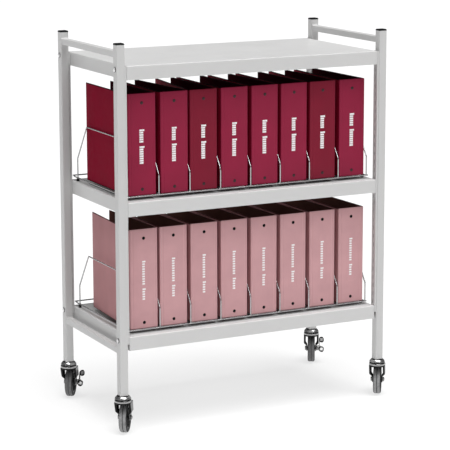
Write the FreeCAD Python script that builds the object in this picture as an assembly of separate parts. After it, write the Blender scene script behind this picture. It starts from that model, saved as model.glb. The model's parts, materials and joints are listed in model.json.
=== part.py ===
import FreeCAD, Part

# Mobile binder cart: a square-tube frame on four swivel casters, with three folded sheet-metal
# shelves, a push rail at each end, two wire racks and sixteen ring binders.
# Millimetres, +Z up, +X along the cart's length, +Y to its back, floor at z = 0.

import math
import os

from FreeCAD import Placement, Rotation, Vector

# ---- driving dimensions -------------------------------------------------------------------

FRAME_X = -15.8            # plan centre of the frame: the trailing casters reach further to +X
FRAME_Y = -21.1            # and +Y, and the origin is under the middle of the whole cart

TUBE = 25.4                # post: one-inch square tube
TUBE_WALL = 1.6
TUBE_CORNER = 3.0
POST_X = 426.0             # post axes, from the frame's centre
POST_Y = 204.2
POST_BOTTOM = 118.5
POST_TOP = 1125.5

RAIL = 19.0                # three-quarter-inch square tube for the push rails and cross rails
RAIL_WALL = 1.4
RAIL_CORNER = 2.6
HANDLE_Z = 1098.5          # axis heights
CROSS_RAIL_Z = 248.0

CAP_FLANGE = 2.5
CAP_DOME = 2.0
CAP_PLUG = 14.0

SHELF_TOPS = {"bottom": 289.0, "middle": 678.5, "top": 1066.0}
SHELF_HALF_X = 407.5
SHELF_HALF_Y = 215.7
SHELF_LIP = 40.0
SHELF_SHEET = 1.2
SHELF_BEND = 3.0
SHELF_RETURN = 12.0        # hem turned inward at the lip's lower edge

STANDARD_WIDTH = 20.0      # slotted shelf standard on each post's inner face
STANDARD_DEPTH = 5.5
STANDARD_WALL = 1.5
SLOT_WIDTH = 3.6
SLOT_HEIGHT = 12.0
SLOT_PITCH = 25.4
STANDARD_BOTTOM = 268.0

BOLT_RADIUS = 3.0
BOLT_HOLE_RADIUS = 3.2
BOLT_HEAD_RADIUS = 7.6
BOLT_HEAD_HEIGHT = 3.8
BOLT_DROP = 9.0            # below a shelf's top face
NUT_FLATS = 10.0
NUT_HEIGHT = 5.0

SLOTS = 8                  # binders on each rack
PITCH = 98.4
RACK_X = -3.5              # the racks stand a little left of the frame's centre
WIRE = 2.0                 # radius of the rack wire
WIRE_BEND = 8.0
RACK_FRONT_Y = -187.0
RACK_BACK_LEG_Y = 176.0
RACK_BACK_RAIL_Y = 203.0
RACK_RAIL_Z = 10.0         # wire axis above the shelf
RACK_RAIL_OVERHANG = 5.0
HOOP_KNEE_Z = 68.0
HOOP_TOP_Z = 173.0
HOOP_LEAN = 73.0
FOOT_RADIUS = 4.5

BINDER_WIDTH = 86.8
BINDER_FRONT_Y = -184.0
BINDER_DEPTH = 303.0
BINDER_HEIGHT = 292.0
BINDER_BOARD = 3.0
BINDER_EDGE = 2.0
BINDER_HINGE = 10.0        # from the spine's face to where a cover starts to lean
BINDER_LIFT = 12.3         # spine's lower edge above the shelf, just clear of the wires
RING_BAR_WIDTH = 20.0
RING_BAR_DEPTH = 4.0
RING_BAR_LENGTH = 276.0

# How each binder stands in its slot: its shift along X, then how far the rear edges of its
# left and its right cover lean in.
BINDERS = {
    "upper": ((-1.0, 1.0, 5.0), (2.0, 4.0, 27.0), (-3.0, 31.0, 2.0), (-1.5, 1.0, 4.0),
              (-0.5, 7.0, 8.0), (-1.5, 5.0, 2.0), (-3.0, 23.0, 4.0), (-1.0, 12.0, 7.0)),
    "lower": ((1.0, 13.0, 16.0), (-3.2, 4.0, 18.0), (-3.0, 3.0, 17.0), (-3.2, 4.0, 16.0),
              (-3.0, 3.0, 16.0), (-3.2, 4.0, 15.0), (-2.0, 3.0, 14.0), (-0.5, 4.0, 12.0)),
}

WHEEL_RADIUS = 44.5
WHEEL_HALF_WIDTH = 11.5
TRAIL = 28.0               # wheel axis behind the swivel axis
TYRE_INNER_RADIUS = 33.0
AXLE_RADIUS = 4.0
RUNNING = 0.05             # radial running clearance
HEAD_RADIUS = 24.5         # swivel head
CROWN_BOTTOM = 93.5
CROWN_TOP = 106.4
CROWN_PLATE = 2.5
DOME_BOTTOM = 107.0
DOME_NECK_RADIUS = 16.0
KINGPIN_RADIUS = 5.0
RIVET_RADIUS = 7.2
LEG_SHEET = 2.5
LEG_TOP_OUT = 24.3         # outer faces of the fork's legs, at the crown and at the axle
LEG_AXLE_OUT = 15.7
LEG_SHOULDER_Z = 67.0
LEG_ANKLE_Z = 55.0
LEG_TOP_FRONT = -11.0      # along the trail, where the legs leave the crown
LEG_TOP_REAR = 26.0
LEG_TIP_RADIUS = 10.5
AXLE_NUT_FLATS = 13.0
AXLE_NUT_HEIGHT = 5.0
LEVER_OUT = 25.3           # inner face of the brake lever's plate
LEVER_SHEET = 2.0
LEVER_BOSS_RADIUS = 8.0
LEVER_ARM_HALF = 6.0
LEVER_REACH = 41.0
TAB_LENGTH = 20.0
TAB_SHEET = 2.2
# Each foot tab: its root from the axle, along and up, its pitch, and the lift of its outer end.
TABS = ((14.0, 23.0, 55.0, 10.0), (-18.0, 2.0, 50.0, -8.0))

# Each caster: post it stands under, trailing direction clockwise from +Y, and brake.
CASTERS = {
    "front_left": (-1, -1, 34.7, False),
    "front_right": (1, -1, 34.7, False),
    "rear_left": (-1, 1, 33.5, True),
    "rear_right": (1, 1, 29.7, True),
}

Z_AXIS = Vector(0, 0, 1)
X_AXIS = Vector(1, 0, 0)
Y_AXIS = Vector(0, 1, 0)


# ---- helpers ------------------------------------------------------------------------------

def block(x0, x1, y0, y1, z0, z1):
    """Box between two corners, given axis by axis."""
    return Part.makeBox(x1 - x0, y1 - y0, z1 - z0, Vector(x0, y0, z0))


def centred_block(width, depth, z0, z1, x=0.0, y=0.0):
    return block(x - width / 2, x + width / 2, y - depth / 2, y + depth / 2, z0, z1)


def round_edges(shape, radius, wanted):
    """Fillet the straight edges that run along wanted."""
    edges = []
    for edge in shape.Edges:
        direction = edge.Vertexes[-1].Point - edge.Vertexes[0].Point
        if direction.Length > 0 and direction.normalize().cross(wanted).Length < 1e-6:
            edges.append(edge)
    return shape.makeFillet(radius, edges)


def face_from(points):
    return Part.Face(Part.makePolygon(points + [points[0]]))


def prism(points, direction):
    return face_from(points).extrude(direction)


def turned(points, centre=Vector(0, 0, 0), axis=Z_AXIS):
    """Solid of revolution from a closed outline."""
    return face_from(points).revolve(centre, axis, 360)


def merged(shapes):
    """One clean solid from overlapping or touching ones."""
    return shapes[0].fuse(shapes[1:]).removeSplitter()


def hexagon(flats, height, base, axis):
    corner = flats / math.sqrt(3)
    points = []
    for step in range(6):
        angle = math.radians(60 * step)
        points.append(Vector(corner * math.cos(angle), corner * math.sin(angle), 0))
    nut = prism(points, Vector(0, 0, height))
    nut.Placement = Placement(base, Rotation(Z_AXIS, axis))
    return nut


def square_tube(size, wall, corner, length):
    """Hollow tube along +Z from z = 0, centred on the axis."""
    outer = round_edges(centred_block(size, size, 0, length), corner, Z_AXIS)
    bore = size - 2 * wall
    inner = centred_block(bore, bore, -1, length + 1)
    return outer.cut(round_edges(inner, corner - wall, Z_AXIS))


def write(name, shape):
    """Save one node, moved from the frame's centre to the cart's origin."""
    placed = shape.copy()
    placed.translate(Vector(FRAME_X, FRAME_Y, 0))
    if not placed.isValid():
        raise ValueError(name + " is not a valid shape")
    placed.exportStep("parts/" + name + ".step")


# ---- frame --------------------------------------------------------------------------------

def bolt_heights():
    return [SHELF_TOPS["bottom"] - BOLT_DROP, SHELF_TOPS["top"] - BOLT_DROP]


def bolt_hole(side, y, z):
    """Clearance hole from outside the post to inside the shelf's side flange."""
    reach = 60.0
    start = side * (POST_X + TUBE / 2 + 5)
    return Part.makeCylinder(BOLT_HOLE_RADIUS, reach, Vector(start, y, z), Vector(-side, 0, 0))


def post(side, back):
    tube = square_tube(TUBE, TUBE_WALL, TUBE_CORNER, POST_TOP - POST_BOTTOM)
    tube.translate(Vector(side * POST_X, back * POST_Y, POST_BOTTOM))
    for z in bolt_heights():
        tube = tube.cut(bolt_hole(side, back * POST_Y, z))
    return tube


def post_cap(side, back):
    """Pressed-in plastic cap with a low pyramid-like dome and a hollow plug."""
    bore = TUBE - 2 * TUBE_WALL
    flange = round_edges(centred_block(TUBE, TUBE, 0, CAP_FLANGE), TUBE_CORNER, Z_AXIS)
    base = centred_block(TUBE, TUBE, CAP_FLANGE, CAP_FLANGE + CAP_DOME)
    dome = round_edges(base, TUBE_CORNER, Z_AXIS)
    rim = [edge for edge in dome.Edges if edge.BoundBox.ZMin > CAP_FLANGE + CAP_DOME - 0.01]
    dome = dome.makeChamfer(CAP_DOME * 0.9, rim)
    plug = centred_block(bore - 0.2, bore - 0.2, -CAP_PLUG, 0)
    plug = round_edges(plug, TUBE_CORNER - TUBE_WALL, Z_AXIS)
    hollow = centred_block(bore - 3.2, bore - 3.2, -CAP_PLUG - 1, -1.5)
    cap = merged([flange, dome, plug]).cut(hollow)
    cap.translate(Vector(side * POST_X, back * POST_Y, POST_TOP))
    return cap


def end_rail(side, z):
    """Square tube butt-welded between the front and the back post of one end."""
    length = 2 * POST_Y - TUBE
    tube = square_tube(RAIL, RAIL_WALL, RAIL_CORNER, length)
    tube.Placement = Placement(Vector(side * POST_X, length / 2, z), Rotation(X_AXIS, 90))
    return tube


def shelf_standard(side, back):
    """Channel with a row of slots, open towards the post, from bottom shelf to top shelf."""
    z0 = STANDARD_BOTTOM
    z1 = SHELF_TOPS["top"]
    inner = POST_X - TUBE / 2
    face = inner - STANDARD_DEPTH
    y = back * POST_Y
    half = STANDARD_WIDTH / 2
    body = block(face, inner, y - half, y + half, z0, z1)
    channel = half - STANDARD_WALL
    body = body.cut(block(face + STANDARD_WALL, inner + 1, y - channel, y + channel, z0 - 1, z1 + 1))
    slots = []
    z = z0 + SLOT_PITCH
    while z + SLOT_HEIGHT < z1 - SLOT_PITCH:
        slots.append(block(face - 1, face + STANDARD_WALL + 1,
                           y - SLOT_WIDTH / 2, y + SLOT_WIDTH / 2, z, z + SLOT_HEIGHT))
        z += SLOT_PITCH
    body = body.cut(Part.makeCompound(slots))
    if side < 0:
        body = body.mirror(Vector(0, 0, 0), X_AXIS)
    for height in bolt_heights():
        body = body.cut(bolt_hole(side, y, height))
    return body


def shelf(level):
    """Folded pan: flat top, four lips turned down, hems turned in, bolt holes in the ends."""
    top = SHELF_TOPS[level]
    low = top - SHELF_LIP
    outer = block(-SHELF_HALF_X, SHELF_HALF_X, -SHELF_HALF_Y, SHELF_HALF_Y, low, top)
    outer = round_edges(outer, SHELF_BEND, Z_AXIS)
    rim = [edge for edge in outer.Edges if edge.BoundBox.ZMin > top - 0.01]
    outer = outer.makeFillet(SHELF_BEND - 0.1, rim)
    in_x = SHELF_HALF_X - SHELF_SHEET
    in_y = SHELF_HALF_Y - SHELF_SHEET
    hollow = block(-in_x, in_x, -in_y, in_y, low + SHELF_SHEET, top - SHELF_SHEET)
    hollow = round_edges(hollow, SHELF_BEND - SHELF_SHEET, Z_AXIS)
    mouth_x = in_x - SHELF_RETURN
    mouth_y = in_y - SHELF_RETURN
    mouth = block(-mouth_x, mouth_x, -mouth_y, mouth_y, low - 1, low + 2 * SHELF_SHEET)
    pan = outer.cut(hollow).cut(mouth)
    if level != "middle":
        for side in (-1, 1):
            for back in (-1, 1):
                pan = pan.cut(bolt_hole(side, back * POST_Y, top - BOLT_DROP))
    return pan


def bolt(side, back, z):
    """Domed carriage bolt through post, standard and shelf flange."""
    face = POST_X + TUBE / 2
    tip = SHELF_HALF_X - SHELF_SHEET - NUT_HEIGHT - 1.5
    shank = Part.makeCylinder(BOLT_RADIUS, face - tip, Vector(tip, 0, 0), X_AXIS)
    ball_radius = (BOLT_HEAD_RADIUS ** 2 + BOLT_HEAD_HEIGHT ** 2) / (2 * BOLT_HEAD_HEIGHT)
    ball = Part.makeSphere(ball_radius, Vector(face + BOLT_HEAD_HEIGHT - ball_radius, 0, 0))
    head = ball.common(Part.makeCylinder(BOLT_HEAD_RADIUS, BOLT_HEAD_HEIGHT, Vector(face, 0, 0), X_AXIS))
    whole = merged([shank, head])
    if side < 0:
        whole = whole.mirror(Vector(0, 0, 0), X_AXIS)
    whole.translate(Vector(0, back * POST_Y, z))
    return whole


def shelf_nut(side, back, z):
    seat = SHELF_HALF_X - SHELF_SHEET
    nut = hexagon(NUT_FLATS, NUT_HEIGHT, Vector(seat - NUT_HEIGHT, 0, 0), X_AXIS)
    nut = nut.cut(Part.makeCylinder(BOLT_RADIUS + RUNNING, seat, Vector(0, 0, 0), X_AXIS))
    if side < 0:
        nut = nut.mirror(Vector(0, 0, 0), X_AXIS)
    nut.translate(Vector(0, back * POST_Y, z))
    return nut


def shelf_clip(side, back):
    """Bent clip hooked into a standard's slot, with the middle shelf's hem on its ledge."""
    sheet = 1.5
    ledge = SHELF_TOPS["middle"] - SHELF_LIP
    face = POST_X - TUBE / 2 - STANDARD_DEPTH
    half = 7.0
    plate = block(face - sheet, face, -half, half, ledge - 18, ledge)
    shelf_seat = block(face - 13, face, -half, half, ledge - sheet, ledge)
    clip = merged([plate, shelf_seat])
    if side < 0:
        clip = clip.mirror(Vector(0, 0, 0), X_AXIS)
    clip.translate(Vector(0, back * POST_Y, 0))
    return clip


# ---- racks --------------------------------------------------------------------------------

def hoop_x(index):
    return RACK_X + (index - SLOTS / 2) * PITCH


def wire_path(corners, bend):
    """Straight runs joined by tangent arcs of one bend radius, in corner order."""
    edges = []
    start = corners[0]
    for before, corner, after in zip(corners, corners[1:], corners[2:]):
        inward = (before - corner).normalize()
        outward = (after - corner).normalize()
        half_angle = inward.getAngle(outward) / 2
        setback = bend / math.tan(half_angle)
        arc_start = corner + inward * setback
        arc_end = corner + outward * setback
        bisector = (inward + outward).normalize()
        middle = corner + bisector * (bend / math.sin(half_angle) - bend)
        edges.append(Part.LineSegment(start, arc_start).toShape())
        edges.append(Part.Arc(arc_start, middle, arc_end).toShape())
        start = arc_end
    edges.append(Part.LineSegment(start, corners[-1]).toShape())
    return Part.Wire(edges)


def hoop(x, shelf_top):
    """Divider wire: two legs, two leaning shoulders and a level top."""
    foot = shelf_top + RACK_RAIL_Z + WIRE
    knee = shelf_top + HOOP_KNEE_Z
    top = shelf_top + HOOP_TOP_Z
    path = wire_path([
        Vector(x, RACK_FRONT_Y, foot),
        Vector(x, RACK_FRONT_Y, knee),
        Vector(x, RACK_FRONT_Y + HOOP_LEAN, top),
        Vector(x, RACK_BACK_LEG_Y - HOOP_LEAN, top),
        Vector(x, RACK_BACK_LEG_Y, knee),
        Vector(x, RACK_BACK_LEG_Y, foot),
    ], WIRE_BEND)
    section = Part.Wire(Part.makeCircle(WIRE, Vector(x, RACK_FRONT_Y, foot), Z_AXIS))
    return path.makePipeShell([section], True, False)


def rod(start, end):
    along = end - start
    return Part.makeCylinder(WIRE, along.Length, start, along)


def rack(level):
    """Welded wire rack: rails front and back, a cross wire and a hoop at every divider."""
    base = SHELF_TOPS[level]
    rail_z = base + RACK_RAIL_Z
    x0 = hoop_x(0) - RACK_RAIL_OVERHANG
    x1 = hoop_x(SLOTS) + RACK_RAIL_OVERHANG
    back_z = rail_z + 2 * WIRE
    wires = [
        rod(Vector(x0, RACK_FRONT_Y, rail_z), Vector(x1, RACK_FRONT_Y, rail_z)),
        rod(Vector(x0, RACK_BACK_RAIL_Y, back_z), Vector(x1, RACK_BACK_RAIL_Y, back_z)),
    ]
    for index in range(SLOTS + 1):
        x = hoop_x(index)
        wires.append(rod(Vector(x, RACK_FRONT_Y + WIRE, rail_z), Vector(x, RACK_BACK_RAIL_Y + WIRE, rail_z)))
        wires.append(hoop(x, base))
    return Part.makeCompound(wires)


def rack_feet():
    """Rubber bumpers between the racks' cross wires and the shelves."""
    feet = []
    for level in ("bottom", "middle"):
        base = SHELF_TOPS[level]
        height = RACK_RAIL_Z - WIRE
        for index in (0, SLOTS // 2, SLOTS):
            for y in (RACK_BACK_LEG_Y, RACK_FRONT_Y + 25):
                foot = Part.makeCylinder(FOOT_RADIUS, height, Vector(hoop_x(index), y, base))
                feet.append(foot.makeChamfer(0.8, foot.Edges[0]))
    return Part.makeCompound(feet)


# ---- binders ------------------------------------------------------------------------------

def binder(x, shelf_top, lean_left, lean_right):
    """Ring binder standing spine forward: hinged case, and the ring bar on the spine."""
    half = BINDER_WIDTH / 2
    inside = half - BINDER_BOARD
    front = BINDER_FRONT_Y
    inner_front = front + BINDER_BOARD
    hinge = front + BINDER_HINGE
    back = front + BINDER_DEPTH
    z0 = shelf_top + BINDER_LIFT
    z1 = z0 + BINDER_HEIGHT
    outline = [
        (-half, front), (half, front), (half, hinge), (half - lean_right, back),
        (inside - lean_right, back), (inside, hinge), (inside, inner_front),
        (-inside, inner_front), (-inside, hinge), (lean_left - inside, back),
        (lean_left - half, back), (-half, hinge),
    ]
    case = prism([Vector(x + along, y, z0) for along, y in outline], Vector(0, 0, BINDER_HEIGHT))
    spine_edges = [edge for edge in case.Edges
                   if edge.BoundBox.YMax < front + 0.01 and edge.BoundBox.ZLength > 1]
    case = case.makeFillet(BINDER_EDGE, spine_edges)
    middle = (z0 + z1) / 2
    bar = block(x - RING_BAR_WIDTH / 2, x + RING_BAR_WIDTH / 2, inner_front,
                inner_front + RING_BAR_DEPTH, middle - RING_BAR_LENGTH / 2, middle + RING_BAR_LENGTH / 2)
    bar = bar.makeFillet(RING_BAR_DEPTH * 0.6, [edge for edge in bar.Edges
                         if edge.BoundBox.YMin > inner_front + 0.01 and edge.BoundBox.ZLength > 1])
    return Part.makeCompound([case, bar])


# ---- casters ------------------------------------------------------------------------------
# A caster is drawn with its swivel axis on Z and its wheel trailing to +X, then turned.

def wheel_ring(outline):
    """Solid of revolution about the wheel's axle from (radius, distance along the axle)."""
    centre = Vector(TRAIL, 0, WHEEL_RADIUS)
    points = [Vector(TRAIL + radius, along, WHEEL_RADIUS) for radius, along in outline]
    return turned(points, centre, Y_AXIS)


def axle_cylinder(radius, y0, y1):
    return Part.makeCylinder(radius, y1 - y0, Vector(TRAIL, y0, WHEEL_RADIUS), Y_AXIS)


def caster_socket():
    """Square insert in the post, upper dome of the swivel head, and the riveted king pin."""
    bore = TUBE - 2 * TUBE_WALL - 0.2
    insert = round_edges(centred_block(bore, bore, POST_BOTTOM, POST_BOTTOM + 32), 2.0, Z_AXIS)
    dome = turned([
        Vector(0, 0, DOME_BOTTOM),
        Vector(HEAD_RADIUS - 1, 0, DOME_BOTTOM),
        Vector(HEAD_RADIUS - 1, 0, DOME_BOTTOM + 2.5),
        Vector(HEAD_RADIUS - 2.5, 0, DOME_BOTTOM + 6),
        Vector(HEAD_RADIUS - 5, 0, DOME_BOTTOM + 9),
        Vector(DOME_NECK_RADIUS, 0, POST_BOTTOM),
        Vector(0, 0, POST_BOTTOM),
    ])
    rivet_base = CROWN_BOTTOM + 0.5
    pin = Part.makeCylinder(KINGPIN_RADIUS, DOME_BOTTOM - rivet_base, Vector(0, 0, rivet_base))
    rivet = Part.makeCylinder(RIVET_RADIUS, 3.2, Vector(0, 0, rivet_base))
    return merged([insert, dome, pin, rivet])


def caster_fork():
    """Pressed fork: round crown under the dome and two legs that close in on the axle."""
    crown = turned([
        Vector(0, 0, CROWN_BOTTOM),
        Vector(HEAD_RADIUS - 2, 0, CROWN_BOTTOM),
        Vector(HEAD_RADIUS, 0, CROWN_BOTTOM + 2.5),
        Vector(HEAD_RADIUS, 0, CROWN_TOP - 3),
        Vector(HEAD_RADIUS - 2, 0, CROWN_TOP),
        Vector(0, 0, CROWN_TOP),
    ])
    plate_top = CROWN_BOTTOM + CROWN_PLATE
    out_top = LEG_TOP_OUT
    out_axle = LEG_AXLE_OUT
    tip = WHEEL_RADIUS - LEG_TIP_RADIUS - 2
    right = [(out_top, plate_top), (out_top, LEG_SHOULDER_Z), (out_axle, LEG_ANKLE_Z), (out_axle, tip),
             (out_axle - LEG_SHEET, tip), (out_axle - LEG_SHEET, LEG_ANKLE_Z + 0.7),
             (out_top - LEG_SHEET, LEG_SHOULDER_Z + 0.7), (out_top - LEG_SHEET, CROWN_BOTTOM)]
    arch = [Vector(-60, y, z) for y, z in right] + [Vector(-60, -y, z) for y, z in reversed(right)]
    arch = prism(arch, Vector(140, 0, 0))
    half = LEG_TOP_OUT + 1
    side_view = prism([
        Vector(LEG_TOP_FRONT, -half, plate_top),
        Vector(LEG_TOP_REAR, -half, plate_top),
        Vector(TRAIL + LEG_TIP_RADIUS, -half, WHEEL_RADIUS),
        Vector(TRAIL - LEG_TIP_RADIUS, -half, WHEEL_RADIUS),
    ], Vector(0, 2 * half, 0))
    side_view = merged([side_view, axle_cylinder(LEG_TIP_RADIUS, -half, half)])
    fork = merged([arch.common(side_view), crown])
    fork = fork.cut(axle_cylinder(AXLE_RADIUS + RUNNING, -half, half))
    bore = Part.makeCylinder(KINGPIN_RADIUS + RUNNING, 40, Vector(0, 0, CROWN_BOTTOM - 1))
    counterbore = Part.makeCylinder(RIVET_RADIUS + 0.4, 5, Vector(0, 0, CROWN_BOTTOM - 1))
    return fork.cut(bore).cut(counterbore)


def caster_tyre():
    half = WHEEL_HALF_WIDTH
    return wheel_ring([
        (TYRE_INNER_RADIUS, -half + 1), (TYRE_INNER_RADIUS + 3, -half), (WHEEL_RADIUS - 4, -half),
        (WHEEL_RADIUS - 1.8, -half + 1.2), (WHEEL_RADIUS - 0.5, -half + 3.2), (WHEEL_RADIUS, -half + 6),
        (WHEEL_RADIUS, half - 6), (WHEEL_RADIUS - 0.5, half - 3.2), (WHEEL_RADIUS - 1.8, half - 1.2),
        (WHEEL_RADIUS - 4, half), (TYRE_INNER_RADIUS + 3, half), (TYRE_INNER_RADIUS, half - 1),
    ])


def caster_hub():
    """Wheel centre: boss on the axle, thin web and a rim under the tyre."""
    bore = AXLE_RADIUS + RUNNING
    boss = LEG_AXLE_OUT - LEG_SHEET - 0.4
    rim = WHEEL_HALF_WIDTH - 1
    rim_inner = TYRE_INNER_RADIUS - 5
    return wheel_ring([
        (bore, -boss), (9, -boss), (9.8, -5), (rim_inner - 0.8, -5), (rim_inner, -rim),
        (TYRE_INNER_RADIUS, -rim), (TYRE_INNER_RADIUS, rim), (rim_inner, rim),
        (rim_inner - 0.8, 5), (9.8, 5), (9, boss), (bore, boss),
    ])


def caster_axle(brake):
    """Axle bolt with its head and nut; a longer one where it also carries the brake lever."""
    left = LEG_AXLE_OUT
    right = LEVER_OUT + LEVER_SHEET + 0.3 if brake else LEG_AXLE_OUT
    shank = axle_cylinder(AXLE_RADIUS, -right - AXLE_NUT_HEIGHT - 1, left)
    head = hexagon(AXLE_NUT_FLATS, AXLE_NUT_HEIGHT, Vector(TRAIL, left, WHEEL_RADIUS), Y_AXIS)
    nut = hexagon(AXLE_NUT_FLATS, AXLE_NUT_HEIGHT, Vector(TRAIL, -right, WHEEL_RADIUS), Y_AXIS * -1)
    return merged([shank, head, nut])


def lever_tab(along, up, pitch, lift):
    """Foot tab bent out from the lever's plate, its root at (along, up) from the axle."""
    half = TAB_LENGTH / 2
    tab = block(-half, half, LEVER_OUT - LEVER_REACH, 0, -TAB_SHEET / 2, TAB_SHEET / 2)
    tab = round_edges(tab, 0.9, X_AXIS)
    place = Vector(TRAIL + along, -LEVER_OUT, WHEEL_RADIUS + up)
    tab.Placement = Placement(place, Rotation(X_AXIS, -lift).multiply(Rotation(Y_AXIS, -pitch)))
    return tab


def brake_lever():
    """Toggle lever on the axle, beside the fork, with a locking tab and a release tab."""
    outer = -LEVER_OUT - LEVER_SHEET
    boss = axle_cylinder(LEVER_BOSS_RADIUS, outer, -LEG_AXLE_OUT - 0.2)
    shapes = [boss]
    for along, up, pitch, lift in TABS:
        length = math.hypot(along, up)
        arm = block(0, length, outer, -LEVER_OUT, -LEVER_ARM_HALF, LEVER_ARM_HALF)
        turn = -math.degrees(math.atan2(up, along))
        arm.Placement = Placement(Vector(TRAIL, 0, WHEEL_RADIUS), Rotation(Y_AXIS, turn))
        end = Vector(TRAIL + along, outer, WHEEL_RADIUS + up)
        shapes += [arm, Part.makeCylinder(LEVER_ARM_HALF, LEVER_SHEET, end, Y_AXIS)]
        shapes.append(lever_tab(along, up, pitch, lift))
    return merged(shapes).cut(axle_cylinder(AXLE_RADIUS + RUNNING, -60, 0))


def under_post(shape, side, back, heading):
    """Turn a caster piece to its heading, clockwise from +Y, and put it under its post."""
    placed = shape.copy()
    placed.rotate(Vector(0, 0, 0), Z_AXIS, 90 - heading)
    placed.translate(Vector(side * POST_X, back * POST_Y, 0))
    return placed


# ---- build --------------------------------------------------------------------------------

def build_frame():
    sides = {"left": -1, "right": 1}
    backs = {"front": -1, "rear": 1}
    caps, bolts, nuts, clips = [], [], [], []
    for side_name, side in sides.items():
        write("handle_rail_" + side_name, end_rail(side, HANDLE_Z))
        write("cross_rail_" + side_name, end_rail(side, CROSS_RAIL_Z))
        for back_name, back in backs.items():
            place = back_name + "_" + side_name
            write("post_" + place, post(side, back))
            write("shelf_standard_" + place, shelf_standard(side, back))
            caps.append(post_cap(side, back))
            clips.append(shelf_clip(side, back))
            bolts += [bolt(side, back, z) for z in bolt_heights()]
            nuts += [shelf_nut(side, back, z) for z in bolt_heights()]
    for level in SHELF_TOPS:
        write("shelf_" + level, shelf(level))
    write("post_caps", Part.makeCompound(caps))
    write("shelf_bolts", Part.makeCompound(bolts))
    write("shelf_nuts", Part.makeCompound(nuts))
    write("shelf_clips", Part.makeCompound(clips))


def build_racks():
    for name, level in (("upper", "middle"), ("lower", "bottom")):
        write("rack_" + name, rack(level))
        for index, (shift, lean_left, lean_right) in enumerate(BINDERS[name]):
            x = RACK_X + (index - (SLOTS - 1) / 2) * PITCH + shift
            case = binder(x, SHELF_TOPS[level], lean_left, lean_right)
            write("binder_" + name + "_" + str(index + 1), case)
    write("rack_feet", rack_feet())


def build_casters():
    fork = caster_fork()
    tyre = caster_tyre()
    hub = caster_hub()
    for place, (side, back, heading, brake) in CASTERS.items():
        socket = caster_socket()
        socket.translate(Vector(side * POST_X, back * POST_Y, 0))
        write("caster_socket_" + place, socket)
        write("caster_fork_" + place, under_post(fork, side, back, heading))
        write("caster_tyre_" + place, under_post(tyre, side, back, heading))
        write("caster_hub_" + place, under_post(hub, side, back, heading))
        write("caster_axle_" + place, under_post(caster_axle(brake), side, back, heading))
        if brake:
            write("brake_lever_" + place, under_post(brake_lever(), side, back, heading))


os.makedirs("parts", exist_ok=True)
build_frame()
build_racks()
build_casters()
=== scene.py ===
import json
import math

import bmesh
import bpy
from mathutils import Matrix, Vector


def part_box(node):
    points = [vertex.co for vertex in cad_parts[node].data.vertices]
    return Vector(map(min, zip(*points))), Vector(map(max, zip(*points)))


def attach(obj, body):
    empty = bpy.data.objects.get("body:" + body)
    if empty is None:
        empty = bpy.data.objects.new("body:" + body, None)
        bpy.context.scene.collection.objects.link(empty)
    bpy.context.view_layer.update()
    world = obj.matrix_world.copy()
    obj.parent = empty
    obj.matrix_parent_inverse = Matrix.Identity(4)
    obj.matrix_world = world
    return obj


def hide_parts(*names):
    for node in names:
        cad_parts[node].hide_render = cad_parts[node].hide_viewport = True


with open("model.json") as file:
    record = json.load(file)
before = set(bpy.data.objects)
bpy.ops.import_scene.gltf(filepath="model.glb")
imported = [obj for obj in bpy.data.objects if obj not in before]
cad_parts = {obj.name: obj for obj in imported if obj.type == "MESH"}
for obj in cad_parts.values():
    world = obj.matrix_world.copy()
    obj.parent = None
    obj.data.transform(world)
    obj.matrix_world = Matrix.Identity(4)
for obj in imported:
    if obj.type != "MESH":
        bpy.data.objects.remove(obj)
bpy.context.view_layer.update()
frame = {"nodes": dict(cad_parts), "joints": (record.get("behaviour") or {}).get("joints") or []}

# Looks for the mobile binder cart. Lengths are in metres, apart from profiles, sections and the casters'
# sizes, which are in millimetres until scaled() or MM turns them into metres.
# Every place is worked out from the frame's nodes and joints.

MM = 0.001
SCENE = bpy.context.scene
JOINTS = {joint["name"]: joint for joint in frame["joints"]}
CASTER_PLACES = ("front_left", "front_right", "rear_left", "rear_right")
BRAKED = ("rear_left", "rear_right")
ROWS = {"upper": "shelf_middle", "lower": "shelf_bottom"}
BINDERS_IN_ROW = 8


# ---- materials ----

def tint(colour, factor):
    """Colour times factor, with full alpha."""
    return [min(1.0, channel * factor) for channel in colour] + [1.0]


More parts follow.
